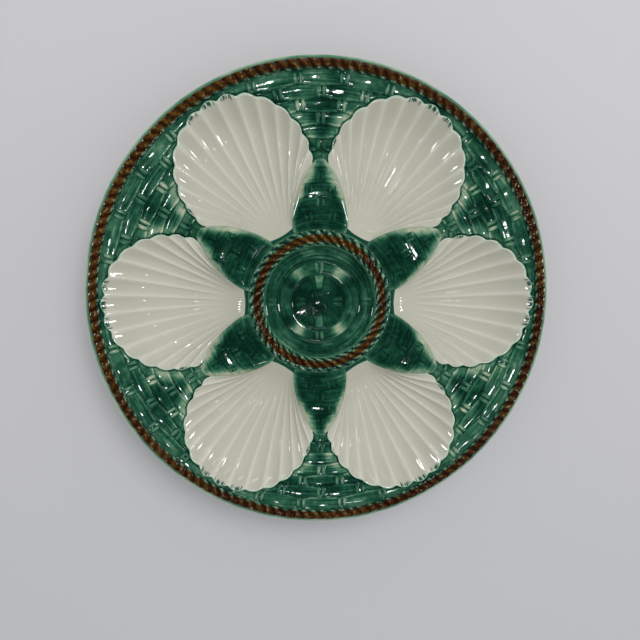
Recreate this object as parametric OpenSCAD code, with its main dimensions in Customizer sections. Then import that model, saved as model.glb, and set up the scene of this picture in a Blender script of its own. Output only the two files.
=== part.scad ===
// Oyster plate: six white scallop wells on a green basketweave dish,
// with a rope round the rim and another round the centre well.
// Millimetres, +Z up. The origin is the centre of the face the foot ring stands on.

/* [Plate] */
// Overall diameter
plate_d = 250; // [236:1:264]
// Height of the ledge that the rim rope lies on
rim_z = 27; // [25.5:0.5:30]
// Height of the flat web between the wells
web_z = 14.5; // [13.5:0.5:15.5]
// Height of the basket ground where it steps up from the web
ground_z = 17; // [16.5:0.5:18]
// Height of the turned underside above the table
base_z = 3; // [2.5:0.5:4]
// Thickness of the dish at the rim
rim_wall = 5; // [4:0.5:6]
// Width of the plain edge outside the rim rope
edge_w = 1.9; // [1.5:0.1:2.5]

/* [Foot ring] */
// Diameter of the middle of the foot ring
foot_d = 120; // [112:1:128]
// Width of the foot ring where it stands
foot_w = 3.6; // [3:0.2:4.4]
// Width of the foot ring where it joins the underside
foot_root_w = 6.4; // [5:0.2:8]

/* [Scallop wells] */
// Space between a shell's tip and the ledge of the rim rope
tip_gap = 0.45; // [0.3:0.05:1.5]
// Width of the basket ground where two shells come closest
neck_w = 7.4; // [6.6:0.1:9]
// Angle from the tip of a shell to the corner of its round edge
corner_a = 113; // [110:1:114]
// Space between the blunt hinge end of a shell and the web pads' inner ends
hinge_gap = 1.6; // [1:0.1:2.4]
// Half of the width of the hinge end
hinge_half_w = 7; // [6:0.1:7.6]
// Round of the hinge end
hinge_round = 0.9; // [0.5:0.1:1.2]
// Inward bow of a shell's straight side
side_bow = 3; // [2:0.1:3.6]
// Depth of the well below the line from its hinge to its lip
well_depth = 12.8; // [11:0.1:13]
// Height of a flute's ridge above the well
flute_h = 1; // [0.8:0.1:1.8]
// Number of flutes across a shell
flutes = 15; // [13:2:17]
// Depth of the scallops along the round edge
scallop_h = 0.9; // [0.4:0.1:1]
// Height of the shell's lip above the basket ground
lip_h = 1.2; // [0.8:0.1:1.6]
// Height of the hinge end above the web
hinge_h = 0.7; // [0.5:0.1:1]

/* [Basket] */
// Number of splints between the web and the rim rope
splints = 7; // [6:1:8]
// Crown of a splint above the grooves beside it
splint_crown = 0.55; // [0.3:0.05:0.8]
// Angle between the stakes
stake_step_a = 6; // [6:1:7]
// Width of a pair of stakes
stake_w = 3.4; // [2.6:0.1:3.8]
// Height of a stake above the splint that it crosses
stake_h = 0.7; // [0.4:0.05:1]

/* [Web pads] */
// Rise of a pad above the lips beside it
pad_crown = 3.4; // [2:0.1:4.4]

/* [Ropes] */
// Width of the rim rope
rim_rope_w = 5.6; // [5:0.1:5.8]
// Height of the rim rope above its ledge
rim_rope_h = 3.2; // [2.6:0.1:3.8]
// Turns of the rim rope's strands round the plate
rim_rope_turns = 46; // [40:1:50]
// Diameter of the middle of the hub rope
hub_rope_d = 71; // [70:0.5:72]
// Width of the hub rope
hub_rope_w = 8.4; // [7:0.1:8.6]
// Height of the hub rope above the web
hub_rope_h = 3.6; // [3:0.1:4.2]
// Turns of the hub rope's strands round the plate
hub_rope_turns = 14; // [12:1:16]
// Space between a rope and what lies beside it
rope_gap = 0.3; // [0.2:0.05:0.4]

/* [Centre well] */
// Height of the floor of the centre well
hub_floor_z = 8.6; // [8:0.1:10]
// Thickness of the centre well's bowl at its floor
hub_wall = 3; // [2.5:0.1:3.4]
// Diameter of the button in the middle
button_d = 8.6; // [7:0.1:10]
// Height of the button
button_h = 0.9; // [0.5:0.1:1.4]
// Diameter of the inner weave ring
inner_ring_d = 31.5; // [28:0.1:34]
// Diameter of the outer weave ring
outer_ring_d = 46.6; // [44:0.1:48]
// Step between two weave rings
ring_step = 0.6; // [0.3:0.05:0.8]

/* [Hidden] */

$fn = 180;
// Overrun of a cut past the face that it opens
cut = 1;
// Number of wells, and the angle between two of them
wells = 6;
well_a = 360 / wells;
// Glaze colours
green = "#1E5B40";
deep_green = "#0F4A31";
shell_white = "#C4C2B2";
rope_brown = "#7A3410";
clay = "#CDBB9A";

// Radii of the rim, from the outer edge inwards
plate_r = plate_d / 2;
rim_rope_r = plate_r - edge_w - rim_rope_w / 2;
ground_r = rim_rope_r - rim_rope_w / 2 - rope_gap;

// Radii of the hub
hub_rope_r = hub_rope_d / 2;
hub_r = hub_rope_r - hub_rope_w / 2 - rope_gap;
pad_r = hub_rope_r + hub_rope_w / 2 + rope_gap;
hinge_r = pad_r + hinge_gap;

// A shell's round edge is an arc. It reaches the ledge at its tip, less the gap, and
// leaves the neck between itself and the next shell, which fixes its centre and radius.
tip_r = ground_r - tip_gap - scallop_h / 2;
shell_r = (tip_r + neck_w / 2) / (1 + sin(well_a / 2));
shell_edge_r = tip_r - shell_r;

// The corner where a shell's side meets its round edge
corner = [shell_r + shell_edge_r * cos(corner_a), shell_edge_r * sin(corner_a)];
neck_r = norm(corner);
splint_pitch = (ground_r - neck_r) / splints;

// The underside is flat out to this share of the radius, and then bends up to the rim
flat_share = 0.62;
flat_r = plate_r * flat_share;
bend_power = 1.5;
bend_steps = 8;

function lerp(a, b, f) = a + (b - a) * f;
function polar(r, a) = [r * cos(a), r * sin(a)];

// Height of the basket ground and of the underside at a distance from the axis
function ground(r) = lerp(ground_z, rim_z, (r - neck_r) / (ground_r - neck_r));
function underside(r) =
    let (f = max(0, (r - flat_r) / (ground_r - flat_r)))
        lerp(base_z, rim_z - rim_wall, pow(f, bend_power));

// Section of the dish. The grooves between splints lie on the ground line, and each
// splint is crowned between its two grooves.
function splint_r(i) = neck_r + i * splint_pitch;
splint_shares = [0, 0.25, 0.75, 1];
splint_crown_shares = [0, 1, 1, 0];
function splint_point(i, u) =
    let (r = splint_r(i - 1 + splint_shares[u]))
        [r, ground(r) + splint_crown * splint_crown_shares[u]];
splint_points = [for (i = [splints : -1 : 1]) for (u = [3 : -1 : 1]) splint_point(i, u)];

underside_points = [for (i = [0 : bend_steps])
    let (r = lerp(flat_r, ground_r, i / bend_steps))
        [r, underside(r)]];

// Outer edge of the dish, as shares of its overhang and of its wall
edge_start_share = 0.75;
edge_shares = [[0.3, -1], [0.8, -0.82], [1, -0.45], [0.94, -0.2], [0.7, -0.04]];
edge_r = lerp(ground_r, plate_r, edge_start_share);
edge_points = [for (s = edge_shares)
    [lerp(edge_r, plate_r, s[0]), rim_z + rim_wall * s[1]]];

module plate_body() {
    color(green)
        difference() {
            rotate_extrude()
                polygon(concat(
                    [[0, base_z]],
                    underside_points,
                    edge_points,
                    [[plate_r - edge_w, rim_z]],
                    splint_points,
                    [[neck_r, ground_z], [neck_r, web_z], [0, web_z]]
                ));
            translate([0, 0, hub_floor_z - hub_wall])
                cylinder(r = hub_r, h = web_z);
            for (k = [0 : wells - 1])
                rotate([0, 0, k * well_a])
                    translate([0, 0, base_z - cut])
                        linear_extrude(rim_z)
                            polygon(shell_outline());
        }
}

module foot_ring() {
    color(clay)
        rotate_extrude()
            polygon([
                [foot_d / 2 - foot_root_w / 2, base_z],
                [foot_d / 2 - foot_w / 2, 0],
                [foot_d / 2 + foot_w / 2, 0],
                [foot_d / 2 + foot_root_w / 2, base_z]
            ]);
}

// Scallop wells. A shell is drawn on +X. s runs across it from -1 to 1, and t runs out
// from the hinge end, at 0, to the round edge, at 1.
cols = 2 * flutes;
row_shares = [0, 0.05, 0.15, 0.32, 0.54, 0.76, 0.92, 1];
rows = len(row_shares) - 1;

// 0 in the middle of a flute and 1 on the ridge between two flutes
function ridge(s) = 1 - abs(cos(90 * flutes * s));

function hinge_point(s) = [hinge_r + hinge_round * s * s, hinge_half_w * s];
function edge_point(s) =
    [shell_r, 0]
    + polar(shell_edge_r + scallop_h * (abs(s) < 1 ? 0.5 - ridge(s) : 0), corner_a * s);

side_dir = (corner - hinge_point(1)) / norm(corner - hinge_point(1));
function side_push(s, t) = side_bow * 4 * t * (1 - t) * pow(abs(s), 3);

function shell_point(s, t) =
    lerp(hinge_point(s), edge_point(s), t)
    + side_push(s, t) * [side_dir[1], -side_dir[0] * sign(s)];

// How flat a well's floor is from the hinge to the lip, and how round it is across
floor_flatness = 3;
floor_roundness = 0.85;
// Height of the lip, and the depth of the bowl below it, which is none at its edges
function lip_z(s, t) = lerp(web_z + hinge_h, ground(norm(edge_point(s))) + lip_h, t);
function bowl(s, t) =
    (1 - pow(abs(2 * t - 1), floor_flatness)) * pow(1 - s * s, floor_roundness);
// Flutes fade out towards the hinge
function flute_fade(t) = max(0, min(1, (t - 0.1) / 0.4));
function well_z(s, t) =
    lip_z(s, t) - well_depth * bowl(s, t)
    + (t < 1 && abs(s) < 1 ? flute_h * flute_fade(t) * ridge(s) : 0);

function col_s(i) = -1 + 2 * i / cols;
function with_z(p, z) = [p[0], p[1], z];

well_top = [for (t = row_shares) for (i = [0 : cols])
    with_z(shell_point(col_s(i), t), well_z(col_s(i), t))];
well_bottom = [for (p = well_top) with_z(p, underside(norm([p[0], p[1]])))];

// Outline of a shell, taken round the same points as its sides
function shell_outline() = [for (i = grid_rim(cols, rows)) [well_top[i][0], well_top[i][1]]];

// Blocks made of grids of points. A grid has m by n cells, and its points run across
// the m cells first.
function grid_faces(m, n) = [
    for (j = [0 : n - 1]) for (i = [0 : m - 1])
        let (a = j * (m + 1) + i, b = a + 1, c = b + m + 1, d = a + m + 1)
            each [[a, b, c], [a, c, d]]
];
function grid_rim(m, n) = concat(
    [for (i = [0 : m]) i],
    [for (j = [1 : n]) j * (m + 1) + m],
    [for (i = [m - 1 : -1 : 0]) n * (m + 1) + i],
    [for (j = [n - 1 : -1 : 1]) j * (m + 1)]
);
function turned(faces, start) = [for (f = faces) [for (i = [len(f) - 1 : -1 : 0]) f[i] + start]];
// Walls from each rim point down to the point below it
function wall_faces(rim, below) = [
    for (i = [0 : len(rim) - 1])
        let (i1 = (i + 1) % len(rim))
            each [[rim[i], below[i], below[i1]], [rim[i], below[i1], rim[i1]]]
];

module shell_well(k) {
    rim = grid_rim(cols, rows);
    start = len(well_top);
    color(shell_white)
        rotate([0, 0, (k - 1) * well_a])
            polyhedron(
                points = concat(well_top, well_bottom),
                faces = concat(
                    grid_faces(cols, rows),
                    turned(grid_faces(cols, rows), start),
                    wall_faces(rim, [for (i = rim) i + start])
                )
            );
}

// Web pads. A pad fills the space between the sides of two neighbouring shells, the one
// on +X and the next, as a grid that shares their side points, on a flat underside.
pad_cols = 8;
side_points = [for (t = row_shares) shell_point(1, t)];
function side_a(p) = atan2(p[1], p[0]);
pad_rows = concat(
    [[pad_r, side_a(side_points[0]), web_z + hinge_h]],
    [for (j = [0 : rows])
        [norm(side_points[j]), side_a(side_points[j]), lip_z(1, row_shares[j])]]
);
// Crown of the pad along its length and across it, where its top is nearly flat
pad_end_share = 0.12;
pad_flatness = 4;
function pad_rise(j) =
    j == 0 ? pad_end_share : lerp(pad_end_share, 1, sin(180 * pow(row_shares[j - 1], 0.8)));
function pad_cross(a) = 1 - pow(abs(a), pad_flatness);
function pad_point(j, i) =
    let (
        row = pad_rows[j],
        across = 1 - 2 * i / pad_cols,
        a = lerp(well_a / 2, row[1], across)
    )
        with_z(polar(row[0], a), row[2] + pad_crown * pad_rise(j) * pad_cross(across));
pad_top = [for (j = [0 : rows + 1]) for (i = [0 : pad_cols]) pad_point(j, i)];

module web_pad(k) {
    rim = grid_rim(pad_cols, rows + 1);
    start = len(pad_top);
    count = len(rim);
    color(deep_green)
        rotate([0, 0, (k - 1) * well_a])
            polyhedron(
                points = concat(pad_top, [for (i = rim) with_z(pad_top[i], web_z)]),
                faces = concat(
                    grid_faces(pad_cols, rows + 1),
                    wall_faces(rim, [for (i = [0 : count - 1]) start + i]),
                    [[for (i = [count - 1 : -1 : 0]) start + i]]
                )
            );
}

// Basket stakes. They stand at equal angles from the middle of a panel and pass over
// every other splint. Each crossing is a pair of ridges that dies into the grooves.
stake_cross_shares = [-1, -0.55, 0, 0.55, 1];
stake_ridge_shares = [0, 1, 0.3, 1, 0];
stake_lift_shares = [0.35, 1, 1, 0.35];
stake_sides = len(stake_cross_shares);
function stake_point(i, u, v) =
    let (p = splint_point(i, u))
        [p[0], -stake_w / 2 * stake_cross_shares[v],
            p[1] + stake_h * stake_lift_shares[u] * stake_ridge_shares[v]];

module stake(i, a) {
    m = stake_sides - 1;
    n = len(splint_shares) - 1;
    rotate([0, 0, a])
        polyhedron(
            points = [for (u = [0 : n]) for (v = [m : -1 : 0]) stake_point(i, u, v)],
            faces = concat(
                grid_faces(m, n),
                [for (u = [0 : n - 1]) let (p = u * (m + 1), q = p + m + 1)
                    [p, q, q + m, p + m]],
                [[for (v = [m : -1 : 0]) v], [for (v = [0 : m]) n * (m + 1) + v]]
            )
        );
}

// Half of the angle that is free between two shells at a distance from the axis, and
// the angle that a stake needs beside its middle
function shell_side_a(r) =
    acos((r * r + shell_r * shell_r - shell_edge_r * shell_edge_r) / (2 * r * shell_r));
function free_a(r) = well_a / 2 - shell_side_a(r);
function stake_room_a(r) = asin((stake_w + scallop_h) / 2 / r);
function stake_fits(i, j) =
    let (r = splint_r(i - 1))
        abs(j) * stake_step_a + stake_room_a(r) < free_a(r);

module basket_stakes(k) {
    color(green)
        for (i = [2 : splints])
            for (j = [-3 : 3])
                if ((i + j - splints) % 2 != 0 && stake_fits(i, j))
                    stake(i, (k - 0.5) * well_a + j * stake_step_a);
}

// Wall of the centre well, as shares of its width and height from the outer ring up
hub_wall_shares = [[0.88, 0.72], [0.5, 0.34]];
button_shoulder_share = 0.7;

module hub_well() {
    ring_z = hub_floor_z + 2 * ring_step;
    color(deep_green)
        rotate_extrude()
            polygon(concat(
                [
                    [0, hub_floor_z - hub_wall],
                    [hub_r, hub_floor_z - hub_wall],
                    [hub_r, web_z]
                ],
                [for (s = hub_wall_shares)
                    [lerp(outer_ring_d / 2, hub_r, s[0]), lerp(ring_z, web_z, s[1])]],
                [
                    [outer_ring_d / 2, ring_z],
                    [outer_ring_d / 2 - ring_step, hub_floor_z + ring_step],
                    [inner_ring_d / 2, hub_floor_z + ring_step],
                    [inner_ring_d / 2 - ring_step, hub_floor_z],
                    [button_d / 2, hub_floor_z],
                    [button_d / 2 - ring_step, hub_floor_z + button_h * button_shoulder_share],
                    [0, hub_floor_z + button_h]
                ]
            ));
}

// Ropes. A rope is a ring whose section has three lobes that turn as it goes round.
// Ridge and valley points take turns round the section, which is cut flat at its seat.
lobe_points = 6;
lobe_a = 360 / lobe_points;
valley_share = 0.74;
rope_widest_share = 0.35;
function rope_point(i, j, turns, r, w, h, seat) =
    let (
        a = (j - i) * lobe_a,
        size = j % 2 == 0 ? 1 : valley_share,
        rise = lerp(rope_widest_share, 1, size * sin(a))
    )
        with_z(polar(r + w / 2 * size * cos(a), i * lobe_a / turns), seat + h * max(0, rise));

module rope(turns, r, w, h, seat) {
    n = turns * lobe_points;
    polyhedron(
        points = [for (i = [0 : n - 1]) for (j = [0 : lobe_points - 1])
            rope_point(i, j, turns, r, w, h, seat)],
        faces = [for (i = [0 : n - 1]) for (j = [0 : lobe_points - 1])
            let (
                i1 = (i + 1) % n,
                j1 = (j + 1) % lobe_points,
                a = i * lobe_points + j,
                b = i1 * lobe_points + j,
                c = i1 * lobe_points + j1,
                d = i * lobe_points + j1
            )
                each [[a, c, b], [a, d, c]]]
    );
}

module rim_rope() {
    color(rope_brown)
        rope(rim_rope_turns, rim_rope_r, rim_rope_w, rim_rope_h, rim_z);
}

module hub_rope() {
    color(rope_brown)
        rope(hub_rope_turns, hub_rope_r, hub_rope_w, hub_rope_h, web_z);
}

plate_body();
foot_ring();
hub_well();
rim_rope();
hub_rope();
shell_well(1);  // shell_well_1
shell_well(2);  // shell_well_2
shell_well(3);  // shell_well_3
shell_well(4);  // shell_well_4
shell_well(5);  // shell_well_5
shell_well(6);  // shell_well_6
web_pad(1);  // web_pad_1
web_pad(2);  // web_pad_2
web_pad(3);  // web_pad_3
web_pad(4);  // web_pad_4
web_pad(5);  // web_pad_5
web_pad(6);  // web_pad_6
basket_stakes(1);  // basket_stakes_1
basket_stakes(2);  // basket_stakes_2
basket_stakes(3);  // basket_stakes_3
basket_stakes(4);  // basket_stakes_4
basket_stakes(5);  // basket_stakes_5
basket_stakes(6);  // basket_stakes_6
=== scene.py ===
# %% [markdown]
# # A majolica oyster plate
# The plate is one piece of earthenware, pressed in a mould and dipped or brushed with coloured
# lead glazes. Its relief is a basket, six scallop shells, six pads between them, a round well
# and two ropes. The measured model gives the main sizes and places. This lesson dresses it: each
# piece of relief is modelled finely, and each gets the glaze that the potter gave it.

# %% Load the measured model
import math

import bpy
import numpy as np
from mathutils import Matrix, Vector


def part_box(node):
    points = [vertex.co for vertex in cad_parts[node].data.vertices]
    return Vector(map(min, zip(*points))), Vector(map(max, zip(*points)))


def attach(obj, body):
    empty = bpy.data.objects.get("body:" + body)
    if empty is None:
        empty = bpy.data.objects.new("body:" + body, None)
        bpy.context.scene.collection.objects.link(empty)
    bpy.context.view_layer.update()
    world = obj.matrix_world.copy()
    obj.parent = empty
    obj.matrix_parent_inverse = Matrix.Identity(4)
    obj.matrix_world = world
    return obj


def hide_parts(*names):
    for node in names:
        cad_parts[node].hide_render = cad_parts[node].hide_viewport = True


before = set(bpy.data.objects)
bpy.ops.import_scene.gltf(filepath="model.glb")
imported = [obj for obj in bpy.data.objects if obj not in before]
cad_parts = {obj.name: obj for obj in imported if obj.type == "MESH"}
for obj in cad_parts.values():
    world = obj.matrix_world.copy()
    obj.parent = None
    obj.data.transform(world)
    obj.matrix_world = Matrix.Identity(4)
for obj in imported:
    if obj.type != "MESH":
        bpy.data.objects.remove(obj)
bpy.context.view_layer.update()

# %% [markdown]
# ## Sizes
# The scene is in metres and the sizes below are in millimetres, so one factor turns one into
# the other. What a node's box can say is read from the node, so that the dressed pieces follow
# the measured ones. What it can't say, such as the number of flutes, is named here. In the rules
# for shapes, r is a distance from the plate's axis in millimetres and a is an angle round it.

# %% Sizes from the measured model
MM = 0.001


def size_of(node):
    """Lowest and highest corner of a measured node, in millimetres."""
    low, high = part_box(node)
    return np.array(low) / MM, np.array(high) / MM


plate_r = size_of("plate_body")[1][0]
base_z = size_of("plate_body")[0][2]
rim_z = size_of("rim_rope")[0][2]
rim_rope_top_z = size_of("rim_rope")[1][2]
web_z = size_of("hub_rope")[0][2]
hub_rope_top_z = size_of("hub_rope")[1][2]
hub_r = size_of("hub_well")[1][0]
hub_under_z = size_of("hub_well")[0][2]
foot_high_r = size_of("foot_ring")[1][0]
print("plate radius", plate_r, "rim", rim_z, "web", web_z, "hub radius", hub_r)

# %% Sizes that the boxes don't show
edge_w = 1.9  # plain edge outside the rim's rope
rim_rope_w = 5.6
hub_rope_w = 8.4
rope_gap = 0.3
hinge_gap = 1.6  # from the hub's rope to a shell's hinge
tip_gap = 0.45  # from a shell's lip to the rim's rope
neck_w = 7.4  # between two shells where they come nearest
corner_a = math.radians(113)  # round a shell, from its tip to where its straight side begins
hinge_half_w = 7.0
hinge_round = 0.9
side_bow = 3.0  # how far a shell's straight side bows out
well_depth = 12.8
flute_h = 1.0
flutes = 15
scallop_h = 0.9
lip_h = 1.2  # lip of a shell above the ground
hinge_h = 0.7  # hinge of a shell above the web
ground_z = 17.0  # ground at the neck
rim_wall = 5.0
splints = 7
splint_crown = 0.55
stake_step_a = math.radians(6)
pad_crown = 3.4
wells = 6
well_a = 2 * math.pi / wells
# What lies between two wells is shaped on +X and then turned by half a well.
between_wells = Matrix.Rotation(well_a / 2, 4, "Z")

rim_rope_r = plate_r - edge_w - rim_rope_w / 2
ground_r = rim_rope_r - rim_rope_w / 2 - rope_gap
hub_rope_r = hub_r + rope_gap + hub_rope_w / 2
pad_r = hub_rope_r + hub_rope_w / 2 + rope_gap
hinge_r = pad_r + hinge_gap
tip_r = ground_r - tip_gap - scallop_h / 2
shell_r = (tip_r + neck_w / 2) / (1 + math.sin(well_a / 2))
shell_edge_r = tip_r - shell_r
corner = np.array([
    shell_r + shell_edge_r * math.cos(corner_a),
    shell_edge_r * math.sin(corner_a),
])
neck_r = float(np.hypot(*corner))
splint_pitch = (ground_r - neck_r) / splints
print("shell centre at", round(shell_r, 2), "neck at", round(neck_r, 2))
print("a splint is", round(splint_pitch, 2), "mm wide")

# %% [markdown]
# ## Helpers for curves
# Nearly all of the relief is drawn by three moves: go part of the way from one value to another,
# ease from 0 to 1 between two limits without a crease, and stay at 1 over a band.

# %% Curve helpers
def lerp(a, b, f):
    return a + (b - a) * f


def ease(low, high, x):
    """0 up to low, 1 from high, and a smooth rise between them."""
    f = np.clip((x - low) / (high - low), 0, 1)
    return f * f * (3 - 2 * f)


def band(x, low, full_from, full_to, high):
    """1 from full_from to full_to, with a smooth rise from low and fall to high."""
    return ease(low, full_from, x) * (1 - ease(full_to, high, x))


# The underside is flat out to this share of the radius, and then bends up to the rim.
flat_share = 0.62
bend_power = 1.5
flat_r = plate_r * flat_share


def ground(r):
    """Height of the basket ground."""
    return lerp(ground_z, rim_z, (r - neck_r) / (ground_r - neck_r))


def underside(r):
    """Height of the dish's underside."""
    f = np.maximum(0, (r - flat_r) / (ground_r - flat_r))
    return lerp(base_z, rim_z - rim_wall, f ** bend_power)


# The turned back is one skin, and the moulded pieces stand on it.
skin = 1.5


def skin_top(r):
    """Height at which the moulded pieces stand."""
    return underside(r) + skin


print("ground at 100 mm:", round(float(ground(100)), 2), "underside:", round(float(underside(100)), 2))

# %% [markdown]
# ## Camera
# The camera stands where the picture was taken from: almost straight above the plate, and a
# little to the left and the far side. Its tilt, lens and small upward shift were measured from
# the ellipses that the two ropes make in the picture. The tilts are in radians.

# %% Camera
camera_spot = Vector((-22.42, 21.65, 362.75)) * MM
tilt_x = -0.18673
tilt_y = -0.06441
sensor_mm = 36.0
focal_px = 620
picture_px = 640
optical_axis_px = 380
nearest_mm = 10

camera_data = bpy.data.cameras.new("camera")
camera_data.sensor_width = sensor_mm
camera_data.lens = sensor_mm * focal_px / picture_px
camera_data.shift_y = (optical_axis_px - picture_px / 2) / picture_px
camera_data.clip_start = nearest_mm * MM
camera = bpy.data.objects.new("camera", camera_data)
camera.matrix_world = (
    Matrix.Translation(camera_spot)
    @ Matrix.Rotation(tilt_y, 4, "Y")
    @ Matrix.Rotation(tilt_x, 4, "X")
)
bpy.context.scene.collection.objects.link(camera)
bpy.context.scene.camera = camera
bpy.context.scene.view_settings.view_transform = "Standard"
print("lens", round(camera_data.lens, 2), "mm, shift", round(camera_data.shift_y, 4))

# %% [markdown]
# ## Nodes for the glazes
# A material is a small graph. One helper adds a node, sets its values and links its sockets,
# and another turns a colour as it is written on screen into the linear light that the
# renderer works in.

# %% Node helpers
def colour(written):
    """Linear colour of an sRGB hex value such as #1E5B40."""
    channels = [int(written[i:i + 2], 16) / 255 for i in (1, 3, 5)]
    linear = [c / 12.92 if c <= 0.04045 else ((c + 0.055) / 1.055) ** 2.4 for c in channels]
    return (*linear, 1.0)


def add(tree, kind, inputs=None, stops=None, **settings):
    """Adds a node. A socket among the inputs is linked, and any other value is set."""
    node = tree.nodes.new(kind)
    for name, value in settings.items():
        setattr(node, name, value)
    for key, value in (inputs or {}).items():
        if isinstance(value, bpy.types.NodeSocket):
            tree.links.new(value, node.inputs[key])
        else:
            node.inputs[key].default_value = value
    if stops:
        elements = node.color_ramp.elements
        while len(elements) < len(stops):
            elements.new(1.0)
        for element, (spot, written) in zip(elements, stops):
            element.position = spot
            element.color = colour(written)
    return node


def new_material(name):
    """An empty material: its tree and its shader."""
    material = bpy.data.materials.new(name)
    material.use_nodes = True
    tree = material.node_tree
    return material, tree, tree.nodes["Principled BSDF"]


print("colour helper: mid grey is", round(colour("#808080")[0], 4))

# %% [markdown]
# ## What the glazes share
# Every glaze here is a thin coat of glass, so it is glossy and has the index of plain glass. It
# never melts out quite even: faint waves stay in it, called orange peel. A bump of one to three
# hundredths of a millimetre gives them, so that reflections tremble a little. The ropes go
# without, because their strands break up every reflection by themselves.

# %% Coat of glass
glaze_roughness = 0.05
glaze_ior = 1.5
orange_peel_mm = 3.0
peel_mm = 0.012
green_peel_mm = 0.03
line_peel_share = 0.5


def orange_peel(tree, place, height_mm, lines=None):
    """Bump of the waves, and of any lines of the clay that show through them."""
    height = add(tree, "ShaderNodeTexNoise", {
        "Vector": place, "Scale": 1 / (orange_peel_mm * MM), "Detail": 1.0,
    }).outputs["Fac"]
    if lines is not None:
        height = add(tree, "ShaderNodeMath", {
            0: lines, 1: line_peel_share, 2: height,
        }, operation="MULTIPLY_ADD").outputs[0]
    return add(tree, "ShaderNodeBump", {
        "Height": height, "Strength": 1.0, "Distance": height_mm * MM,
    }).outputs["Normal"]


def coat(tree, shader, glaze, bump=None):
    """Links a glaze's colour and its bump, and gives it the gloss of glass."""
    tree.links.new(glaze, shader.inputs["Base Color"])
    if bump is not None:
        tree.links.new(bump, shader.inputs["Normal"])
    shader.inputs["Roughness"].default_value = glaze_roughness
    shader.inputs["IOR"].default_value = glaze_ior


print("every glaze has roughness", glaze_roughness, "and index", glaze_ior)

# %% [markdown]
# ## Green lead glaze
# Copper makes a lead glaze green. It is thin and pale on what stands up, and it pools dark in
# what lies deep, so the colour follows the relief. Each moulded piece carries three attributes:
# `relief` says how far a point stands up, `tint` says how much of the glaze was wiped or never
# brushed on, and `grain` gives the distance along and across the cane, for the fine lines that
# cane has.

# %% Green glaze
patch_mm = 15
mottle_mm = 2.6
cane_line_mm = 0.95
cane_length_mm = 16
# How much thinner the glaze gets for each cause, on a scale from 0, pooled, to 1, thinnest.
thin_by_relief = 0.46
thin_by_wiping = 0.55
thin_by_patches = 0.95
thin_by_mottle = 0.45
# Each noise swings about a half, and this takes most of that off.
thin_offset = -0.595
# The cane's lines show less where the glaze was wiped, because there it lies more evenly.
line_swing = 0.7
line_swing_wiped = -0.5


def green_lead_glaze():
    material, tree, shader = new_material("green_lead_glaze")
    place = add(tree, "ShaderNodeTexCoord").outputs["Object"]
    relief = add(tree, "ShaderNodeAttribute", attribute_name="relief").outputs["Fac"]
    tint = add(tree, "ShaderNodeAttribute", attribute_name="tint").outputs["Fac"]
    grain = add(tree, "ShaderNodeAttribute", attribute_name="grain").outputs["Vector"]
    patches = add(tree, "ShaderNodeTexNoise", {
        "Vector": place, "Scale": 1 / (patch_mm * MM), "Detail": 2.0, "Roughness": 0.55,
    }).outputs["Fac"]
    mottle = add(tree, "ShaderNodeTexNoise", {
        "Vector": place, "Scale": 1 / (mottle_mm * MM), "Detail": 2.0, "Roughness": 0.6,
    }).outputs["Fac"]
    stretch = add(tree, "ShaderNodeMapping", {
        "Vector": grain,
        "Scale": (1 / (cane_length_mm * MM), 1 / (cane_line_mm * MM), 1 / (cane_length_mm * MM)),
    }).outputs["Vector"]
    cane = add(tree, "ShaderNodeTexNoise", {
        "Vector": stretch, "Scale": 1.0, "Detail": 1.0, "Roughness": 0.5,
    }).outputs["Fac"]
    swing = add(tree, "ShaderNodeMath", {
        0: tint, 1: line_swing_wiped, 2: line_swing,
    }, operation="MULTIPLY_ADD").outputs[0]
    line = add(tree, "ShaderNodeMath", {0: cane, 1: 0.5}, operation="SUBTRACT").outputs[0]
    thin = thin_offset
    for cause, amount in (
        (relief, thin_by_relief), (tint, thin_by_wiping), (patches, thin_by_patches),
        (mottle, thin_by_mottle), (line, swing),
    ):
        thin = add(tree, "ShaderNodeMath", {
            0: cause, 1: amount, 2: thin,
        }, operation="MULTIPLY_ADD").outputs[0]
    glaze = add(tree, "ShaderNodeValToRGB", {"Fac": thin}, stops=[
        (0.02, "#002216"),
        (0.22, "#083526"),
        (0.40, "#1B4A37"),
        (0.60, "#3C6B53"),
        (0.80, "#789278"),
        (1.00, "#ACAD96"),
    ]).outputs["Color"]
    coat(tree, shader, glaze, orange_peel(tree, place, green_peel_mm, cane))
    return material


green_glaze = green_lead_glaze()
print("made", green_glaze.name)

# %% [markdown]
# ## White glaze on the shells
# The shells were left white under a clear glaze with a touch of green-grey in it, which gathers
# between the flutes. The green from the ground ran over the outer side of the lip and, on the
# lobes nearest the rim, was touched inwards with the point of a brush. `tint` is 1 where the
# shell is green, and the short brush marks follow the shell's own map: along its edge and
# outwards.

# %% White glaze
tick_w_mm = 0.75
tick_length_mm = 6
cloud_mm = 22
fringe_mm = 1.3
# The noise of the brush marks shows as a mark from the first level, and in full at the second.
mark_from = 0.93
mark_full = 1.0


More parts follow.
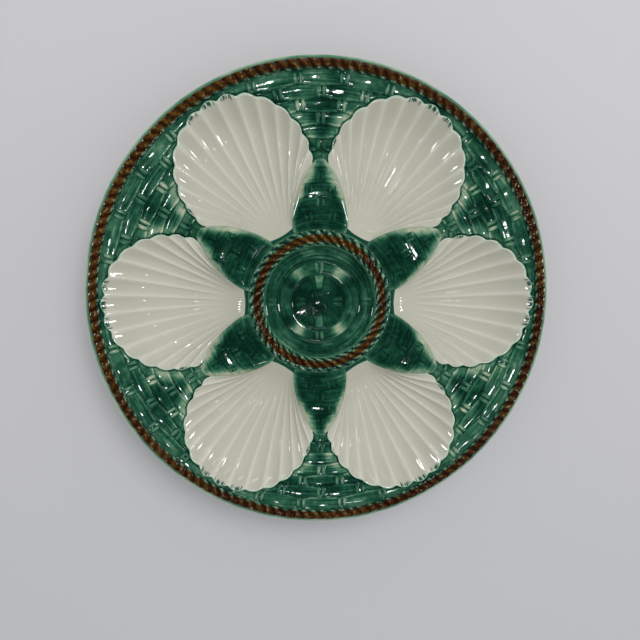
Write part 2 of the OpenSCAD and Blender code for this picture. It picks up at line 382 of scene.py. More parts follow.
def white_shell_glaze():
    material, tree, shader = new_material("white_lead_glaze_on_shells")
    place = add(tree, "ShaderNodeTexCoord").outputs["Object"]
    relief = add(tree, "ShaderNodeAttribute", attribute_name="relief").outputs["Fac"]
    tint = add(tree, "ShaderNodeAttribute", attribute_name="tint").outputs["Fac"]
    ticks = add(tree, "ShaderNodeAttribute", attribute_name="ticks").outputs["Fac"]
    clouds = add(tree, "ShaderNodeTexNoise", {
        "Vector": place, "Scale": 1 / (cloud_mm * MM), "Detail": 2.0,
    }).outputs["Fac"]
    height = add(tree, "ShaderNodeMath", {
        0: clouds, 1: 0.5, 2: relief,
    }, operation="MULTIPLY_ADD").outputs[0]
    white = add(tree, "ShaderNodeValToRGB", {"Fac": height}, stops=[
        (0.15, "#B4B4A6"),
        (0.40, "#B8B8AA"),
        (0.75, "#BEBDB0"),
        (1.00, "#C4C3B7"),
    ]).outputs["Color"]
    fringe = add(tree, "ShaderNodeTexNoise", {
        "Vector": place, "Scale": 1 / (fringe_mm * MM), "Detail": 2.0,
    }).outputs["Fac"]
    run = add(tree, "ShaderNodeMath", {
        0: fringe, 1: 0.5, 2: tint,
    }, operation="MULTIPLY_ADD").outputs[0]
    stain = add(tree, "ShaderNodeValToRGB", {"Fac": run}, stops=[
        (0.30, "#C6CABB"),
        (0.62, "#8DB09A"),
        (0.86, "#3A7460"),
        (1.00, "#15493A"),
    ]).outputs["Color"]
    # The stain covers the white as soon as there is an eighth of it.
    stained = add(tree, "ShaderNodeMath", {
        0: tint, 1: 8.0,
    }, operation="MULTIPLY", use_clamp=True).outputs[0]
    glaze = add(tree, "ShaderNodeMix", {
        0: stained, 6: white, 7: stain,
    }, data_type="RGBA").outputs[2]
    edge_map = add(tree, "ShaderNodeAttribute", attribute_name="edge_map").outputs["Vector"]
    strokes = add(tree, "ShaderNodeMapping", {
        "Vector": edge_map,
        "Scale": (1 / (tick_w_mm * MM), 1 / (tick_length_mm * MM), 1.0),
    }).outputs["Vector"]
    hairs = add(tree, "ShaderNodeTexNoise", {
        "Vector": strokes, "Scale": 1.0, "Detail": 1.0,
    }).outputs["Fac"]
    reach = add(tree, "ShaderNodeMath", {
        0: ticks, 1: 0.5, 2: hairs,
    }, operation="MULTIPLY_ADD").outputs[0]
    mark = add(tree, "ShaderNodeMapRange", {
        "Value": reach, "From Min": mark_from, "From Max": mark_full,
    }).outputs["Result"]
    marked = add(tree, "ShaderNodeMix", {
        0: mark, 6: glaze, 7: colour("#1E5445"),
    }, data_type="RGBA").outputs[2]
    coat(tree, shader, marked, orange_peel(tree, place, peel_mm))
    return material


white_glaze = white_shell_glaze()
print("made", white_glaze.name)

# %% [markdown]
# ## Brown glaze on the ropes
# Manganese and iron make the brown. It was laid along the top of the rope with one brush, so
# the sides of the strands stay green, pale where the glaze is thin. It runs dark between the
# strands and amber where it thins over them. On the highest crests it turns a pale grey-olive,
# which is partly thin glaze and partly a painted highlight. `tint` is 1 under the brush and 0 on
# the flanks.

# %% Brown glaze
brush_mm = 1.5
batch_mm = 35
# How much the brown turns to amber for each metre leftwards.
amber_per_m = 1.4
thin_by_strand = 0.68
thin_by_brush = 1.4
brown_edge_fray = 1.1


def brown_rope_glaze():
    material, tree, shader = new_material("brown_and_green_lead_glaze_on_ropes")
    place = add(tree, "ShaderNodeTexCoord").outputs["Object"]
    relief = add(tree, "ShaderNodeAttribute", attribute_name="relief").outputs["Fac"]
    tint = add(tree, "ShaderNodeAttribute", attribute_name="tint").outputs["Fac"]
    brush = add(tree, "ShaderNodeTexNoise", {
        "Vector": place, "Scale": 1 / (brush_mm * MM), "Detail": 2.0,
    }).outputs["Fac"]
    batch = add(tree, "ShaderNodeTexNoise", {
        "Vector": place, "Scale": 1 / (batch_mm * MM), "Detail": 1.0,
    }).outputs["Fac"]
    along = add(tree, "ShaderNodeSeparateXYZ", {0: place}).outputs["X"]
    leftwards = add(tree, "ShaderNodeMath", {
        0: along, 1: -amber_per_m, 2: batch,
    }, operation="MULTIPLY_ADD").outputs[0]
    height = add(tree, "ShaderNodeMath", {
        0: brush, 1: thin_by_brush, 2: -thin_by_brush / 2,
    }, operation="MULTIPLY_ADD").outputs[0]
    thin = add(tree, "ShaderNodeMath", {
        0: relief, 1: thin_by_strand, 2: height,
    }, operation="MULTIPLY_ADD").outputs[0]
    # It is a dark red-brown on the right, and amber on the left and in places.
    # The top stop of both brown ramps, a pale grey-olive on the highest crests, is partly thin glaze
    # and partly a painted highlight.
    dark_brown = add(tree, "ShaderNodeValToRGB", {"Fac": thin}, stops=[
        (0.10, "#1A0700"),
        (0.45, "#2C0E02"),
        (0.75, "#3E270C"),
        (1.00, "#7A7252"),
    ]).outputs["Color"]
    amber = add(tree, "ShaderNodeValToRGB", {"Fac": thin}, stops=[
        (0.10, "#241000"),
        (0.45, "#392104"),
        (0.75, "#543A12"),
        (1.00, "#857C58"),
    ]).outputs["Color"]
    share = add(tree, "ShaderNodeMapRange", {
        "Value": leftwards, "From Min": 0.38, "From Max": 0.66,
    }).outputs["Result"]
    brown = add(tree, "ShaderNodeMix", {
        0: share, 6: dark_brown, 7: amber,
    }, data_type="RGBA").outputs[2]
    green = add(tree, "ShaderNodeValToRGB", {"Fac": thin}, stops=[
        (0.20, "#02201A"),
        (0.55, "#255540"),
        (0.90, "#86A892"),
    ]).outputs["Color"]
    edge = add(tree, "ShaderNodeMath", {
        0: brush, 1: brown_edge_fray, 2: tint,
    }, operation="MULTIPLY_ADD").outputs[0]
    painted = add(tree, "ShaderNodeMapRange", {
        "Value": edge, "From Min": 0.85, "From Max": 1.2,
    }).outputs["Result"]
    glaze = add(tree, "ShaderNodeMix", {
        0: painted, 6: green, 7: brown,
    }, data_type="RGBA").outputs[2]
    coat(tree, shader, glaze)
    return material


rope_glaze = brown_rope_glaze()
print("made", rope_glaze.name)

# %% [markdown]
# ## Back and foot
# The back was turned smooth on a wheel and dipped in the clear glaze, which looks cream with a
# little green in it. The green of the front ran over the edge. The foot ring was wiped, so the
# bare buff clay shows where the plate stood in the kiln.

# %% Back glaze and bare clay
back_cloud_mm = 9
grit_mm = 0.6
grit_h_mm = 0.06
clay_roughness = 0.85


def clear_back_glaze():
    material, tree, shader = new_material("clear_lead_glaze_on_the_back")
    place = add(tree, "ShaderNodeTexCoord").outputs["Object"]
    relief = add(tree, "ShaderNodeAttribute", attribute_name="relief").outputs["Fac"]
    clouds = add(tree, "ShaderNodeTexNoise", {
        "Vector": place, "Scale": 1 / (back_cloud_mm * MM), "Detail": 3.0,
    }).outputs["Fac"]
    height = add(tree, "ShaderNodeMath", {
        0: clouds, 1: 0.35, 2: relief,
    }, operation="MULTIPLY_ADD").outputs[0]
    glaze = add(tree, "ShaderNodeValToRGB", {"Fac": height}, stops=[
        (0.10, "#BDBBA6"),
        (0.30, "#B3BAA3"),
        (0.50, "#86A68C"),
        (0.68, "#2F6749"),
        (0.85, "#4E8264"),
        (1.00, "#93AE94"),
    ]).outputs["Color"]
    coat(tree, shader, glaze, orange_peel(tree, place, peel_mm))
    return material


def bare_earthenware():
    material, tree, shader = new_material("bare_buff_earthenware")
    place = add(tree, "ShaderNodeTexCoord").outputs["Object"]
    grit = add(tree, "ShaderNodeTexNoise", {
        "Vector": place, "Scale": 1 / (grit_mm * MM), "Detail": 4.0, "Roughness": 0.65,
    }).outputs["Fac"]
    clay = add(tree, "ShaderNodeValToRGB", {"Fac": grit}, stops=[
        (0.30, "#B39C78"),
        (0.55, "#CDBB9A"),
        (0.80, "#D9CBB0"),
    ]).outputs["Color"]
    bump = add(tree, "ShaderNodeBump", {
        "Height": grit, "Strength": 1.0, "Distance": grit_h_mm * MM,
    }).outputs["Normal"]
    tree.links.new(clay, shader.inputs["Base Color"])
    tree.links.new(bump, shader.inputs["Normal"])
    shader.inputs["Roughness"].default_value = clay_roughness
    return material


back_glaze = clear_back_glaze()
clay = bare_earthenware()
print("made", back_glaze.name, "and", clay.name)

# %% [markdown]
# ## Helpers for moulded clay
# A moulded relief is a sheet of points whose height follows a rule, so each such piece starts
# as a grid primitive. The rule says where each of the grid's points goes, and extruding the
# grid's border, or all of it, down to the skin of the dish closes the piece.

# %% Clay helpers
soft_crease = math.radians(50)


def deselect():
    if bpy.context.mode != "OBJECT":
        bpy.ops.object.mode_set(mode="OBJECT")
    bpy.ops.object.select_all(action="DESELECT")


def select_only(piece):
    deselect()
    piece.select_set(True)
    bpy.context.view_layer.objects.active = piece


def points(piece):
    """The piece's points, in millimetres."""
    flat = np.empty(len(piece.data.vertices) * 3)
    piece.data.vertices.foreach_get("co", flat)
    return flat.reshape(-1, 3) / MM


def move_points(piece, x, y, z):
    spots = np.column_stack((x, y, z)) * MM
    piece.data.vertices.foreach_set("co", spots.astype(np.float32).ravel())
    piece.data.update()


def selected_points(piece):
    flags = np.empty(len(piece.data.vertices), dtype=bool)
    piece.data.vertices.foreach_get("select", flags)
    return flags


def paint(piece, name, values):
    """Gives the piece's points an attribute that its glaze reads."""
    values = np.asarray(values, dtype=np.float32)
    kind, key = ("FLOAT", "value") if values.ndim == 1 else ("FLOAT_VECTOR", "vector")
    attribute = piece.data.attributes.new(name, kind, "POINT")
    attribute.data.foreach_set(key, values.ravel())


def face_outwards(piece, crease=soft_crease):
    """Turns the faces outwards and shades them smooth up to the crease's angle."""
    select_only(piece)
    bpy.ops.object.mode_set(mode="EDIT")
    bpy.ops.mesh.select_all(action="SELECT")
    bpy.ops.mesh.normals_make_consistent(inside=False)
    bpy.ops.object.mode_set(mode="OBJECT")
    bpy.ops.object.shade_smooth_by_angle(angle=crease)


def moulded_block(name, columns, rows, surface, whole):
    """A grid shaped by surface(u, v), closed down to the skin of the dish. Whole takes a
    second sheet down, and otherwise only the border goes down and is capped."""
    deselect()
    bpy.ops.mesh.primitive_grid_add(x_subdivisions=columns, y_subdivisions=rows, size=1)
    block = bpy.context.object
    block.name = name
    grid = points(block) * MM + 0.5
    shape = surface(grid[:, 0], grid[:, 1])
    move_points(block, shape["x"], shape["y"], shape["z"])
    for key in ("relief", "tint", "ticks"):
        if key in shape:
            paint(block, key, shape[key])
    for key in ("grain", "edge_map"):
        if key in shape:
            along, across = shape[key]
            paint(block, key, np.column_stack((along, across, 0 * along)) * MM)
    bpy.ops.object.mode_set(mode="EDIT")
    bpy.ops.mesh.select_mode(type="VERT")
    bpy.ops.mesh.select_all(action="SELECT")
    down = {"value": (0, 0, -MM)}
    if whole:
        bpy.ops.mesh.extrude_region_move(TRANSFORM_OT_translate=down)
    else:
        bpy.ops.mesh.region_to_loop()
        bpy.ops.mesh.extrude_edges_move(TRANSFORM_OT_translate=down)
        bpy.ops.mesh.edge_face_add()
    bpy.ops.object.mode_set(mode="OBJECT")
    low = selected_points(block)
    spots = points(block)
    spots[low, 2] = skin_top(np.hypot(spots[low, 0], spots[low, 1]))
    move_points(block, *spots.T)
    face_outwards(block)
    return block


def turned_copy(piece, name, angle):
    """A copy with its own mesh, turned about the plate's axis."""
    copy = piece.copy()
    copy.data = piece.data.copy()
    copy.name = name
    copy.data.name = name
    copy.data.transform(Matrix.Rotation(angle, 4, "Z"))
    bpy.context.scene.collection.objects.link(copy)
    return copy


def glaze_piece(piece, material, slot, *nodes):
    """Gives the piece its material and body, and hides the measured nodes that it stands for."""
    piece.data.materials.clear()
    piece.data.materials.append(material)
    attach(piece, "root")
    if nodes:
        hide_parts(*nodes)


def glaze_six(first, names, material, slot, nodes=None):
    """Copies the first piece to the other five places, and then glazes all six."""
    six = [first] + [
        turned_copy(first, names.format(k + 1), k * well_a) for k in range(1, wells)
    ]
    for k, piece in enumerate(six):
        glaze_piece(piece, material, slot, *([nodes.format(k + 1)] if nodes else []))


def faces_of(piece):
    return len(piece.data.polygons)


print("clay helpers ready")

# %% [markdown]
# ## The dish
# The clay was pressed over a mould and turned, so the dish's section goes round one axis. Its
# outline is drawn once, from the middle of the back out to the rim and in again under the relief,
# and the spin operator carries it round. The edge outside the rope is rounded. The green of the
# front reaches only the parts of the dish that `relief` marks: the edge, the ledge and the web.

# %% Dish
turn_steps = 240


def spun(name, outline, steps=turn_steps):
    """Spins an outline of (radius, height) points, in millimetres, round the plate's axis. One
    sixth is spun and the others are copies of it, which is far quicker than one long spin."""
    deselect()
    mesh = bpy.data.meshes.new(name)
    spots = [(r * MM, 0, z * MM) for r, z in outline]
    mesh.from_pydata(spots, [(i, i + 1) for i in range(len(spots) - 1)], [])
    piece = bpy.data.objects.new(name, mesh)
    bpy.context.scene.collection.objects.link(piece)
    select_only(piece)
    bpy.ops.object.mode_set(mode="EDIT")
    bpy.ops.mesh.select_all(action="SELECT")
    about = {"center": (0, 0, 0), "axis": (0, 0, 1), "use_auto_merge": False}
    bpy.ops.mesh.spin(steps=steps // wells, angle=well_a, **about)
    bpy.ops.mesh.select_all(action="SELECT")
    bpy.ops.mesh.spin(steps=wells - 1, angle=(wells - 1) * well_a, dupli=True, **about)
    bpy.ops.mesh.select_all(action="SELECT")
    bpy.ops.mesh.remove_doubles(threshold=0.02 * MM)
    bpy.ops.object.mode_set(mode="OBJECT")
    return piece


back_steps = 24
back_points = [
    (float(r), float(underside(r)))
    for r in np.linspace(flat_r, ground_r, back_steps)
]
# The rounded edge, as shares of the overhang and of the wall.
edge_start_r = lerp(ground_r, plate_r, 0.75)
edge_shares = [
    (0.25, -1.0), (0.55, -0.93), (0.8, -0.8), (0.95, -0.6), (1.0, -0.42), (0.97, -0.24),
    (0.88, -0.1), (0.74, -0.02),
]
edge_points = [
    (lerp(edge_start_r, plate_r, across), rim_z + rim_wall * down)
    for across, down in edge_shares
]
web_ring_r = pad_r + 0.4
rope_seat_r = plate_r - edge_w - 0.3
# The basket ground runs a little way under the rim's rope.
ledge_r = ground_r + 1.5
# Rings that only keep the faces of the flat back and of the skin's upper side small.
back_ring_r = (0, 20, 45)
skin_ring_r = (112, 105, 95, 85, flat_r)
dish_outline = [
    *[(r, base_z) for r in back_ring_r],
    *back_points,
    *edge_points,
    (rope_seat_r, rim_z),
    (ledge_r, rim_z),
    (ledge_r, float(skin_top(ledge_r))),
    *[(r, float(skin_top(r))) for r in skin_ring_r],
    (web_ring_r, float(skin_top(web_ring_r))),
    (web_ring_r, web_z),
    (hub_r, web_z),
    (hub_r, hub_under_z),
    (0, hub_under_z),
]
dish = spun("dish", dish_outline)
print("spun dish:", faces_of(dish), "faces")

# %% Green on the dish
# Levels as the back glaze reads them: 0 is bare cream, about 0.5 is the deepest green, and more
# is a thinner green.
edge_level = 0.5
edge_thinning = 0.34
web_level = 0.66
ledge_level = 0.5
# The green ran over the edge in drips.
drips = 11
drip_swing = 0.06

spots = points(dish)
radius, height = np.hypot(spots[:, 0], spots[:, 1]), spots[:, 2]
runs = drip_swing * np.sin(drips * np.arctan2(spots[:, 1], spots[:, 0]))
edge_relief = ease(plate_r - 5, plate_r - 3, radius) * ease(rim_z - 5.5, rim_z - 1.5, height)
outermost = ease(plate_r - 1.6, plate_r - 0.3, radius)
edge_relief = edge_relief * (edge_level + edge_thinning * outermost + runs)
web_green = web_level * ease(web_z - 2, web_z - 0.5, height) * (radius < web_ring_r + 1)
ledge_green = ledge_level * (height > rim_z - 0.1) * (radius < plate_r - edge_w)
front_relief = np.maximum(edge_relief, np.maximum(web_green, ledge_green))
paint(dish, "relief", np.clip(front_relief, 0, 1))
face_outwards(dish)
glaze_piece(dish, back_glaze, "green_glaze", "plate_body")
print("dish:", faces_of(dish), "faces")

# %% [markdown]
# ## The foot ring
# The foot is turned from the same clay. Its outline is a low trapezium, spun as the dish is. Its
# two lower corners are cut off, which gives the wiped, slightly worn look.

# %% Foot ring
foot_root_w = 6.4
foot_w = 3.6
foot_r = foot_high_r - foot_root_w / 2
foot_round = 0.5
foot_flare = 0.15
foot_outline = [
    (foot_r - foot_root_w / 2, base_z),
    (foot_r - foot_w / 2 - foot_flare, foot_round),
    (foot_r - foot_w / 2 + foot_round, 0.0),
    (foot_r + foot_w / 2 - foot_round, 0.0),
    (foot_r + foot_w / 2 + foot_flare, foot_round),
    (foot_r + foot_root_w / 2, base_z),
    (foot_r - foot_root_w / 2, base_z),
]
foot = spun("unglazed_foot", foot_outline)
face_outwards(foot)
glaze_piece(foot, clay, "bare_clay", "foot_ring")
print("foot:", faces_of(foot), "faces")

# %% [markdown]
# ## Basket ground
# Flat cane splints run round the plate, and pairs of stakes cross them in turn, over one and
# under the next. A splint bulges where it passes over a stake and is pinched where the stake
# passes over it, so its edges wave. Modelled by hand this would be hundreds of cuts, but the
# rule is short, so one grid follows it for a panel and is copied to the other five. A panel ends
# where the shells begin, so the rule for their scalloped edge comes first. In it, s runs along
# the edge: 0 at the lobe nearest the rim, and -1 and 1 where the shell's straight sides begin.

# %% The scallop's edge
flute_fan = 0.08
ridge_round = 0.1
# The cuts between the lobes, and how unevenly a hand made them.
tip_cut = 1.65
side_cut = 1.1
cut_unevenness = 0.15
cut_pace = 9.3
cut_start = 2.6


def flute_ridge(s):
    """1 on the sharp ridge between two flutes and 0 in the middle of a flute. The flutes are
    broader in the middle of the shell than at its sides."""
    fanned = s - flute_fan * s * (1 - s ** 6)
    wave = np.abs(np.cos(math.pi / 2 * flutes * fanned))
    whole = math.sqrt(1 + ridge_round ** 2) - ridge_round
    return 1 - (np.sqrt(wave ** 2 + ridge_round ** 2) - ridge_round) / whole


def scallop(s):
    """How far the scalloped edge lies outside or inside its middle line. It is cut in deepest
    between the lobes nearest the rim."""
    cut = lerp(tip_cut, side_cut, ease(0.15, 0.45, np.abs(s)))
    cut = cut * (1 + cut_unevenness * np.sin(cut_pace * s + cut_start))
    return np.where(np.abs(s) < 1, scallop_h / 2 - cut * flute_ridge(s), 0)


def shell_distance(r, a):
    """Distance outside the nearer shell's edge, for a point at an angle from a panel's middle."""
    across = well_a / 2 - np.abs(a)
    x = r * np.cos(across) - shell_r
    y = r * np.sin(across)
    s = np.arctan2(y, x) / corner_a
    return np.hypot(x, y) - shell_edge_r - scallop(s)


def waver(x, y):
    """A slow unevenness, from -1 to 1, as of clay pressed by hand. x and y are in mm."""
    return 0.5 * (np.sin(x / 5.3 + 1.7 * np.sin(y / 7.1)) + np.sin(y / 4.1 + 1.3 * np.sin(x / 8.9)))


def weave(r, a, rows_r, pitch, wave_share, stake_step):
    """The share across a splint, the splint's number, and 1 where a stake covers it. Where a
    stake does, the splint is pinched, so its edges wave by a share of the pitch."""
    q = a / stake_step
    b = (r - rows_r) / pitch
    b = b + wave_share * np.cos(math.pi * q) * np.cos(math.pi * b)
    row = np.floor(b)
    covered = np.cos(math.pi * (q + row + 1))
    return b - row, row, covered


lobe, cusp = scallop(np.array([0.0, 1 / flutes]))
print("lobe", round(float(lobe), 2), "cusp", round(float(cusp), 2))

# %% Basket panel
panel_columns = 200
panel_rows = 130
under_lip = tip_cut + 0.3
wave_share = 0.07
stake_pinch = 0.22
panel_unevenness = 0.1
# By distance from a shell's edge: the weave comes up, and a groove runs round the shell.
weave_from_shell = (0.1, 1.5)
groove_from_shell = (-0.6, 0.9)
groove_h = 0.75
# Under the shell's lip the panel drops away, so that it can't show through.
drop_from = 0.5
drop_slope = 1.2
# Where the glaze differs on a panel, in mm: radii between which each patch comes and goes, and
# for the corners also the distance from the panel's middle.
pooled_middle_r = (82, 90, 106, 112)
pale_neck_r = (82, 88, 97, 103)
pale_corner_r = (100, 104, 108, 112)
pale_corner_from = (24, 31)
pale_from_shell = (2, 9)
# The relief that the glaze reads: a splint's own level, and what raises or lowers it.
splint_level = 0.55
inner_edge_rise = 0.55
outer_edge_fall = 0.4
beside_stake_fall = 0.3
middle_fall = 0.35
# How far the glaze is wiped at the neck, in the corners, and at the inner and outer end.
neck_wipe = 0.75
corner_wipe = 0.7
inner_end_wipe = 0.5
outer_end_wipe = 0.18
# Each splint's grain starts at another place along the noise, so that no two look alike.
grain_step = 2.7


def splint_edges(f):
    """The pale inner edge of a splint, and the pool of glaze along its outer edge."""
    return np.exp(-((f - 0.09) / 0.06) ** 2), np.exp(-((f - 0.95) / 0.10) ** 2)


def splint_relief(f, covered, crown, pinch):
    """Height of a splint across its width f, with a bead along each edge. Pinch is how much
    lower it lies under a stake."""
    body = 1 - np.abs(2 * f - 1) ** 2.8
    bead = 0.40 * np.exp(-((f - 0.10) / 0.055) ** 2) + 0.15 * np.exp(-((f - 0.93) / 0.04) ** 2)
    return crown * body * (0.55 - pinch * covered + bead)


def panel_surface(u, v):
    """A panel of basket on +X, from the neck between two shells out to the rim's rope."""
    r = lerp(neck_r, ledge_r, v)
    reach = shell_edge_r - under_lip
    inside = np.clip((r * r + shell_r ** 2 - reach ** 2) / (2 * r * shell_r), -1, 1)
    half = well_a / 2 - np.arccos(inside)
    a = (2 * u - 1) * half
    f, row, covered = weave(r, a, neck_r, splint_pitch, wave_share, stake_step_a)
    rise = splint_relief(f, covered, splint_crown, stake_pinch)
    away = shell_distance(r, a)
    clear = ease(*weave_from_shell, away)
    groove = 1 - ease(*groove_from_shell, away)
    x, y = r * np.cos(a), r * np.sin(a)
    uneven = panel_unevenness * waver(x + 3 * row, y)
    clear = clear * (1 - ease(ground_r - 1.4, ground_r - 0.2, r))
    z = np.minimum(ground(r), rim_z) + (rise + uneven) * clear - groove_h * groove
    z = z - drop_slope * np.maximum(0, -away - drop_from)
    stake = np.abs(a / stake_step_a - np.round(a / stake_step_a)) * stake_step_a * r
    beside = (1 - ease(2.0, 3.2, stake)) * ease(0.1, 0.5, covered)
    edge_line, edge_pool = splint_edges(f)
    middle = np.exp(-(a * r / 8.5) ** 2) * band(r, *pooled_middle_r)
    relief = splint_level + inner_edge_rise * edge_line - outer_edge_fall * edge_pool
    relief = relief - beside_stake_fall * beside - middle_fall * middle
    relief = lerp(relief, splint_level, ease(ground_r - 3, ground_r - 1.5, r))
    relief = relief * ease(-0.2, 0.8, away)
    corner_patch = ease(*pale_corner_from, np.abs(a * r)) * band(r, *pale_corner_r)
    tint = neck_wipe * (1 - ease(*pale_from_shell, away)) * band(r, *pale_neck_r)
    tint = (tint + corner_wipe * corner_patch) * clear
    tint = tint + inner_end_wipe * (1 - ease(74, 84, r)) + outer_end_wipe * ease(112, 115, r)
    return {
        "x": x, "y": y, "z": z, "relief": relief, "tint": tint,
        "grain": (a * r, r + grain_step * row),
    }


panel = moulded_block("basket_ground_1", panel_columns, panel_rows, panel_surface, whole=False)
panel.data.transform(between_wells)
glaze_six(panel, "basket_ground_{}", green_glaze, "green_glaze")
print("basket panel:", faces_of(panel), "faces, six of them")

# %% [markdown]
# ## Stakes
# A stake is a pair of flat canes that passes over one splint and dips under its neighbours.
# One cane starts as a sphere that is drawn out and squared off towards a bar. A second lies
# beside it, and the pair is copied to each crossing and laid on the slope there.

# %% One pair of stakes
cane_w = 2.3
cane_apart = 2.9
cane_h = 0.8
cane_sides = 8
cane_rings = 8
# The rings crowd towards the ends, which are square and sink a little into the splint.
end_crowding = 0.6
end_squareness = 9
end_sink = 0.3
cane_crease = math.radians(80)
# The relief and the share of the paleness that the glaze reads low on a cane.
cane_level = 0.25
cane_pale_share = 0.3


def cane_pair(length):
    """Points and faces of a pair of canes along Y, in millimetres."""
    deselect()
    bpy.ops.mesh.primitive_uv_sphere_add(segments=cane_sides, ring_count=cane_rings, radius=1)
    cane = bpy.context.object
    bpy.ops.object.mode_set(mode="EDIT")
    bpy.ops.mesh.select_all(action="SELECT")
    bpy.ops.transform.rotate(value=math.pi / 2, orient_axis="X", center_override=(0, 0, 0))
    bpy.ops.object.mode_set(mode="OBJECT")
    ball = points(cane) * MM
    drawn = np.sign(ball[:, 1]) * np.abs(ball[:, 1]) ** end_crowding
    # The sphere's own roundness is divided out, except at its poles, where it is 0.
    thickness = np.hypot(ball[:, 0], ball[:, 2])
    width = (1 - np.abs(drawn) ** end_squareness) ** 0.5 / np.maximum(thickness, 1e-6)
    width = np.where(np.abs(ball[:, 1]) > 0.999, 0, width)
    spots = np.column_stack((
        ball[:, 0] * width * cane_w / 2,
        drawn * length / 2,
        ball[:, 2] * width * cane_h / 2 - end_sink * drawn ** 2,
    ))
    faces = [tuple(face.vertices) for face in cane.data.polygons]
    bpy.data.objects.remove(cane)
    count = len(spots)
    left = spots - (cane_apart / 2, 0, 0)
    right = spots + (cane_apart / 2, 0, 0)
    return np.vstack((left, right)), faces + [tuple(i + count for i in face) for face in faces]


def lay_stakes(name, places, surface, length, bare=0.6):
    """Pairs of stakes at places of (radius, angle, paleness), laid on surface(r, a). Bare says
    how thin the glaze is along their tops."""
    pair, faces = cane_pair(length)
    spots, all_faces, paleness = [], [], []
    for r0, a0, pale in places:
        r = r0 + pair[:, 1]
        a = a0 + pair[:, 0] / r0
        z = surface(r, a) + pair[:, 2]
        start = len(spots) * len(pair)
        all_faces += [tuple(i + start for i in face) for face in faces]
        spots.append(np.column_stack((r * np.cos(a), r * np.sin(a), z)))
        paleness.append(np.full(len(pair), pale))
    mesh = bpy.data.meshes.new(name)
    mesh.from_pydata([tuple(p) for p in np.vstack(spots) * MM], [], all_faces)
    stakes = bpy.data.objects.new(name, mesh)
    bpy.context.scene.collection.objects.link(stakes)
    lift = np.tile(np.clip(pair[:, 2] / (cane_h / 2), 0, 1), len(places))
    paint(stakes, "relief", cane_level + bare * lift)
    paint(stakes, "tint", np.concatenate(paleness) * lerp(cane_pale_share, 1, lift))
    flat = np.vstack(spots)
    reach = np.hypot(flat[:, 0], flat[:, 1])
    around = np.arctan2(flat[:, 1], flat[:, 0]) * reach
    paint(stakes, "grain", np.column_stack((reach, around, 0 * reach)) * MM)
    face_outwards(stakes, cane_crease)
    return stakes


stake_length = splint_pitch * 1.02
stake_seat_share = 0.62
steps_to_side = 3
stake_half_w = 2.0
stake_room = 1.0
# A hand lays no two stakes alike.
stake_seed = 7
stake_shift = 0.5
paleness_swing = 0.08
# How pale the stakes of each splint are, from the neck outwards.
row_paleness = [0.35, 0.20, 0.20, 0.10, 0.66, 0.30, 0.45]


def panel_stake_height(r, a):
    return ground(r) + splint_crown * stake_seat_share


def panel_stake_places():
    """Every crossing of a panel where the stake lies on top and has room."""
    rng = np.random.default_rng(stake_seed)
    places = []
    for row in range(1, splints):
        r = neck_r + (row + 0.5) * splint_pitch
        for step in range(-steps_to_side, steps_to_side + 1):
            a = step * stake_step_a + rng.uniform(-stake_shift, stake_shift) / r
            on_top = (row + 1 + step - splints) % 2
            if on_top and shell_distance(r, abs(a) + stake_half_w / r) > stake_room:
                pale = row_paleness[row] + rng.uniform(-paleness_swing, paleness_swing)
                places.append((r, a, pale))
    places.append((neck_r + 0.55 * splint_pitch, 0.0, row_paleness[0]))
    return places


places = panel_stake_places()
stakes = lay_stakes("basket_stakes_1_dressed", places, panel_stake_height, stake_length)
stakes.data.transform(between_wells)
glaze_six(stakes, "basket_stakes_{}_dressed", green_glaze, "green_glaze", "basket_stakes_{}")
print("stakes:", len(places), "pairs on a panel")

# %% [markdown]
# ## Scallop wells
# A well is the inside of a scallop: a smooth hollow behind the hinge, then fifteen broad flutes
# with narrow ridges between them, each flute ending in a lobe of the lip. The grid's first
# rows lie on the web in front of the hinge and its last ones roll over the lip. All of it
# goes down, so that the shell is a block with a floor of its own. Again s runs across, and t
# runs outwards, from 0 at the hinge to 1 at the lip.

# %% Scallop well
shell_columns = 240
shell_rows = 84
apron_share = 0.035
lip_share = 0.965
lip_w = 1.0
floor_flatness = 3
floor_roundness = 0.85
# The ridges are narrow, and the flutes between them nearly flat. They rise out of the smooth
# hollow between these two t, and are lower over the last of the way up to the crest of the lip.
ridge_sharpness = 1.5
flutes_from = (0.05, 0.5)
flutes_end = (0.93, 1.0)
flutes_end_fall = 0.75
shell_unevenness = 0.05
# The rows of the grid crowd at the hinge and at the lip, where the shell bends most.
row_crowding = 0.6
# The bowl ends a little before the sides, and the lip rolls over by this much.
bowl_side = 0.985
roll_h = 0.5
crest_roll_h = 0.12
# The apron in front of the hinge ends just inside the dish's web.
apron_end_r = web_ring_r - 0.3
# How green the outer half of the lip and the shell's sides are.
lip_green = 0.34
side_green = 0.25
# Degrees round the shell, from its axis, of the lobes that the brush touched.
tip_lobes_to = (20, 25)
side_lobes = (86, 90, 102, 108)
# The marks begin at the lip, and fade this far inwards, in mm.
tick_reach = (-0.1, 0.3, 1.4, 4.4)
side_lobe_share = 0.9
# The brush skipped most of a ridge.
ridge_skip = 0.6
side_direction = corner - (hinge_r + hinge_round, hinge_half_w)
side_direction = side_direction / np.hypot(*side_direction)


def shell_plan(s, t):
    """A point of the shell on +X: s runs across from -1 to 1, and t from hinge to lip."""
    edge_reach = shell_edge_r + scallop(s)
    x = lerp(hinge_r + hinge_round * s * s, shell_r + edge_reach * np.cos(corner_a * s), t)
    y = lerp(hinge_half_w * s, edge_reach * np.sin(corner_a * s), t)
    push = side_bow * 4 * t * (1 - t) * np.abs(s) ** 3
    return x + push * side_direction[1], y - push * side_direction[0] * np.sign(s)


def lip_line(s, t):
    """Height of the line from the hinge to the lip."""
    x, y = shell_plan(s, np.ones_like(s))
    return lerp(web_z + hinge_h, ground(np.hypot(x, y)) + lip_h, t)


